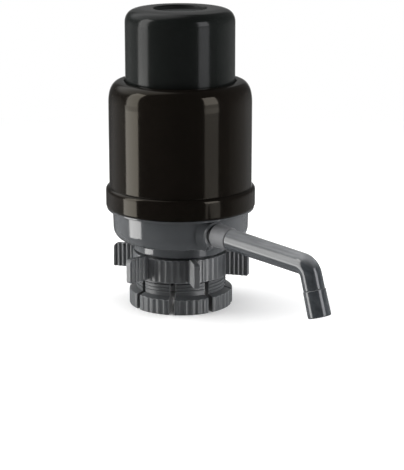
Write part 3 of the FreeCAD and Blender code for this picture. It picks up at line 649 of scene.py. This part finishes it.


# ---- Spout ----
# Arm and nozzle are moulded in dark grey ABS with a trace of mica, which runs in silky streaks along the
# flow. They are polished, so that upright lights show as sharp bright lines on the nozzle, and whatever
# faces up is painted paler, a painted light from above.
pearl_grey_abs, tree = new_finish("pearl_grey_abs")
place = add_node(tree, "ShaderNodeTexCoord").outputs["Object"]
along = add_node(tree, "ShaderNodeMapping", {"Vector": place, "Scale": (0.12, 1.0, 0.8)})
flow = add_node(
    tree, "ShaderNodeTexNoise", {"Vector": along.outputs[0], "Scale": 1 / (2.2 * MM), "Detail": 4.0},
)
streak = add_node(
    tree, "ShaderNodeMapRange", {"Value": flow.outputs["Fac"], "From Min": 0.35, "From Max": 0.7},
)
tone = add_node(
    tree, "ShaderNodeMix",
    {"Factor": streak.outputs[0], 6: linear("#35383b"), 7: linear("#424548")}, data_type="RGBA",
)
eased = add_node(tree, "ShaderNodeBevel", {"Radius": 0.5 * MM}, samples=4)
upward = add_node(tree, "ShaderNodeSeparateXYZ", {"Vector": eased.outputs[0]})
# Painted light from above: whatever faces up is coloured paler.
painted_top_light = add_node(
    tree, "ShaderNodeMapRange",
    {"Value": upward.outputs["Z"], "From Min": 0.45, "From Max": 0.95, "To Min": 0.0, "To Max": 0.75},
    interpolation_type="SMOOTHSTEP",
)
bloom = add_node(
    tree, "ShaderNodeMix",
    {"Factor": streak.outputs[0], 6: linear("#8f9193"), 7: linear("#a1a3a5")}, data_type="RGBA",
)
top_lit_tone = add_node(
    tree, "ShaderNodeMix",
    {"Factor": painted_top_light.outputs[0], 6: tone.outputs[2], 7: bloom.outputs[2]}, data_type="RGBA",
)
gloss = add_node(
    tree, "ShaderNodeMapRange",
    {"Value": flow.outputs["Fac"], "From Min": 0.3, "From Max": 0.7, "To Min": 0.10, "To Max": 0.17},
)
surface = add_node(
    tree, "ShaderNodeBsdfPrincipled",
    {"Base Color": top_lit_tone.outputs[2], "Roughness": gloss.outputs[0], "IOR": 1.54,
     "Specular IOR Level": 0.75, "Metallic": 0.05, "Normal": eased.outputs[0]},
)
add_node(tree, "ShaderNodeOutputMaterial", {"Surface": surface.outputs[0]})
dress(pearl_grey_abs, "spout_arm", "nozzle_sleeve")

# The turning collar has a spark-eroded grain for the fingers, cut in the tool at about 0.2 mm and drawn
# 0.4 mm wide. It scatters the light, so the collar is matt and a touch paler than the arm.
eroded_grey_abs, tree = new_finish("spark_eroded_grey_abs")
place = add_node(tree, "ShaderNodeTexCoord").outputs["Object"]
speckle = add_node(tree, "ShaderNodeTexNoise", {"Vector": place, "Scale": 1 / (0.45 * MM), "Detail": 3.0})
tone = add_node(
    tree, "ShaderNodeMix",
    {"Factor": speckle.outputs["Fac"], 6: linear("#5c5d5f"), 7: linear("#757678")}, data_type="RGBA",
)
eased = add_node(tree, "ShaderNodeBevel", {"Radius": 0.5 * MM}, samples=4)
pits = add_node(
    tree, "ShaderNodeBump",
    {"Strength": 1.0, "Distance": 0.16 * MM, "Height": speckle.outputs["Fac"], "Normal": eased.outputs[0]},
)
surface = add_node(
    tree, "ShaderNodeBsdfPrincipled",
    {"Base Color": tone.outputs[2], "Roughness": 0.5, "IOR": 1.54, "Normal": pits.outputs[0]},
)
add_node(tree, "ShaderNodeOutputMaterial", {"Surface": surface.outputs[0]})
dress(eroded_grey_abs, "spout_collar")
dress(red_silicone, "spout_o_rings")


# ---- Collet and its thread ----
# The slotted clamp that closes on the jug's neck, moulded in grey polypropylene, which has to flex. It
# is satin, with fine upright polishing lines from the tool and edges painted paler as highlights.
satin_grey_pp, tree = new_finish("satin_grey_polypropylene")
place = add_node(tree, "ShaderNodeTexCoord").outputs["Object"]
upright = add_node(tree, "ShaderNodeMapping", {"Vector": place, "Scale": (1.0, 1.0, 0.08)})
lines = add_node(
    tree, "ShaderNodeTexNoise", {"Vector": upright.outputs[0], "Scale": 1 / (1.2 * MM), "Detail": 3.0},
)
tone = add_node(
    tree, "ShaderNodeMix",
    {"Factor": lines.outputs["Fac"], 6: linear("#444648"), 7: linear("#4d4f50")}, data_type="RGBA",
)

# Edges are painted pale where their easing turns off the face (painted highlight), and occlusion paints the
# slots and flutes dark (painted shade).
eased = add_node(tree, "ShaderNodeBevel", {"Radius": 0.35 * MM}, samples=6)
facing = add_node(tree, "ShaderNodeNewGeometry").outputs["Normal"]
flatness = add_node(tree, "ShaderNodeVectorMath", {0: eased.outputs[0], 1: facing}, operation="DOT_PRODUCT")
# Painted highlight: the eased edges are coloured pale.
painted_edge_highlight = add_node(
    tree, "ShaderNodeMapRange",
    {"Value": flatness.outputs["Value"], "From Min": 0.99, "From Max": 0.92, "To Min": 0.0, "To Max": 1.0},
)
edge_lit_tone = add_node(
    tree, "ShaderNodeMix",
    {"Factor": painted_edge_highlight.outputs[0], 6: tone.outputs[2], 7: linear("#b4b6b8")}, data_type="RGBA",
)
# Painted shade: occluded slots and flutes are coloured nearly black.
openness = add_node(tree, "ShaderNodeAmbientOcclusion", {"Distance": 3 * MM}, samples=8)
painted_crevice_shade = add_node(
    tree, "ShaderNodeMapRange",
    {"Value": openness.outputs["AO"], "From Min": 0.35, "From Max": 0.8, "To Min": 0.0, "To Max": 1.0},
)
shaded = add_node(
    tree, "ShaderNodeMix",
    {"Factor": painted_crevice_shade.outputs[0], 6: linear("#0d0e0f"), 7: edge_lit_tone.outputs[2]}, data_type="RGBA",
)
surface = add_node(
    tree, "ShaderNodeBsdfPrincipled",
    {"Base Color": shaded.outputs[2], "Roughness": 0.32, "IOR": 1.5, "Specular IOR Level": 0.6,
     "Normal": eased.outputs[0]},
)
add_node(tree, "ShaderNodeOutputMaterial", {"Surface": surface.outputs[0]})
dress(satin_grey_pp, "collet")

# The thread that the wing ring runs on: two rounded ridges that wind up the collet's wall, 5 mm for a
# whole turn, broken where the fingers are slit apart. They are moulded in one with the collet.
thread_wall = 32.8 * MM
thread_depth = 0.55 * MM
thread_bottom = 13.6 * MM
thread_top = 30.6 * MM
thread_starts = 2
thread_lead = 5.0 * MM
thread_pitch = thread_lead / thread_starts
ridge_count = int((thread_top - thread_bottom) / thread_pitch)
ridge_width = 1.3 * MM
ridge_root = 0.2 * MM
ridge_round = 0.12 * MM
flank_share = 0.3
finger_count = 8
finger_steps = 14
finger_pitch = math.tau / finger_count
first_slot_angle = math.radians(-7.0)
slot_width = 4.2 * MM
finger_sweep = finger_pitch - slot_width / thread_wall

# One finger's ridges first: each is a four-cornered section, sunk a little into the wall and spun from
# slot to slot along the lead.
thread = bmesh.new()
for ridge in range(ridge_count):
    foot = thread_bottom + ridge * thread_pitch
    section = thread.faces.new([
        thread.verts.new((thread_wall - ridge_root, 0, foot)),
        thread.verts.new((thread_wall + thread_depth, 0, foot + flank_share * ridge_width)),
        thread.verts.new((thread_wall + thread_depth, 0, foot + (1 - flank_share) * ridge_width)),
        thread.verts.new((thread_wall - ridge_root, 0, foot + ridge_width)),
    ])
    bmesh.ops.spin(
        thread, geom=[section], cent=(0, 0, 0), axis=(0, 0, 1), angle=finger_sweep, steps=finger_steps,
        dvec=(0, 0, thread_lead * finger_sweep / math.tau / finger_steps), use_merge=False,
    )
bmesh.ops.rotate(
    thread, verts=thread.verts, cent=(0, 0, 0),
    matrix=Matrix.Rotation(first_slot_angle + (finger_pitch - finger_sweep) / 2, 3, "Z"),
)

# The other fingers repeat it, each raised by its share of the winding.
one_finger = list(thread.verts) + list(thread.edges) + list(thread.faces)
for finger in range(1, finger_count):
    copied = bmesh.ops.duplicate(thread, geom=one_finger)["geom"]
    moved = [item for item in copied if isinstance(item, bmesh.types.BMVert)]
    bmesh.ops.rotate(
        thread, verts=moved, cent=(0, 0, 0),
        matrix=Matrix.Rotation(math.tau * finger / finger_count, 3, "Z"),
    )
    wound = finger * thread_starts / finger_count % 1
    bmesh.ops.translate(thread, verts=moved, vec=(0, 0, thread_pitch * wound))
crest_radius = thread_wall + 0.9 * thread_depth
crests = [edge for edge in thread.edges if all(v.co.xy.length > crest_radius for v in edge.verts)]
bmesh.ops.bevel(
    thread, geom=crests, offset=ridge_round, segments=2, profile=0.5, affect="EDGES", material=-1,
)
bmesh.ops.recalc_face_normals(thread, faces=thread.faces)
collet_thread = smooth_piece(thread, "collet_thread", satin_grey_pp)
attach(collet_thread, "neck_collet")

# The gasket that seals on the rim of the jug's neck, pressed from the same red silicone as the seals.
dress(red_silicone, "neck_gasket")


# ---- Wing ring ----
# The fluted ring with six wings that draws the collet up, moulded in grey ABS and lightly textured so
# that wet hands can turn it. It is satin, in the base's grey, with its edges painted paler as highlights.
satin_grey_abs, tree = new_finish("satin_grey_abs")
place = add_node(tree, "ShaderNodeTexCoord").outputs["Object"]
upright = add_node(tree, "ShaderNodeMapping", {"Vector": place, "Scale": (1.0, 1.0, 0.1)})
lines = add_node(
    tree, "ShaderNodeTexNoise", {"Vector": upright.outputs[0], "Scale": 1 / (1.4 * MM), "Detail": 2.0},
)
tone = add_node(
    tree, "ShaderNodeMix",
    {"Factor": lines.outputs["Fac"], 6: linear("#434547"), 7: linear("#4b4d4f")}, data_type="RGBA",
)
eased = add_node(tree, "ShaderNodeBevel", {"Radius": 0.4 * MM}, samples=6)
facing = add_node(tree, "ShaderNodeNewGeometry").outputs["Normal"]
flatness = add_node(tree, "ShaderNodeVectorMath", {0: eased.outputs[0], 1: facing}, operation="DOT_PRODUCT")
# Painted highlight: the eased edges are coloured pale.
painted_edge_highlight = add_node(
    tree, "ShaderNodeMapRange",
    {"Value": flatness.outputs["Value"], "From Min": 0.995, "From Max": 0.93, "To Min": 0.0, "To Max": 1.0},
)
edge_lit_tone = add_node(
    tree, "ShaderNodeMix",
    {"Factor": painted_edge_highlight.outputs[0], 6: tone.outputs[2], 7: linear("#a3a5a7")}, data_type="RGBA",
)
surface = add_node(
    tree, "ShaderNodeBsdfPrincipled",
    {"Base Color": edge_lit_tone.outputs[2], "Roughness": 0.33, "IOR": 1.54, "Specular IOR Level": 1.0,
     "Normal": eased.outputs[0]},
)
add_node(tree, "ShaderNodeOutputMaterial", {"Surface": surface.outputs[0]})
dress(satin_grey_abs, "lock_ring")
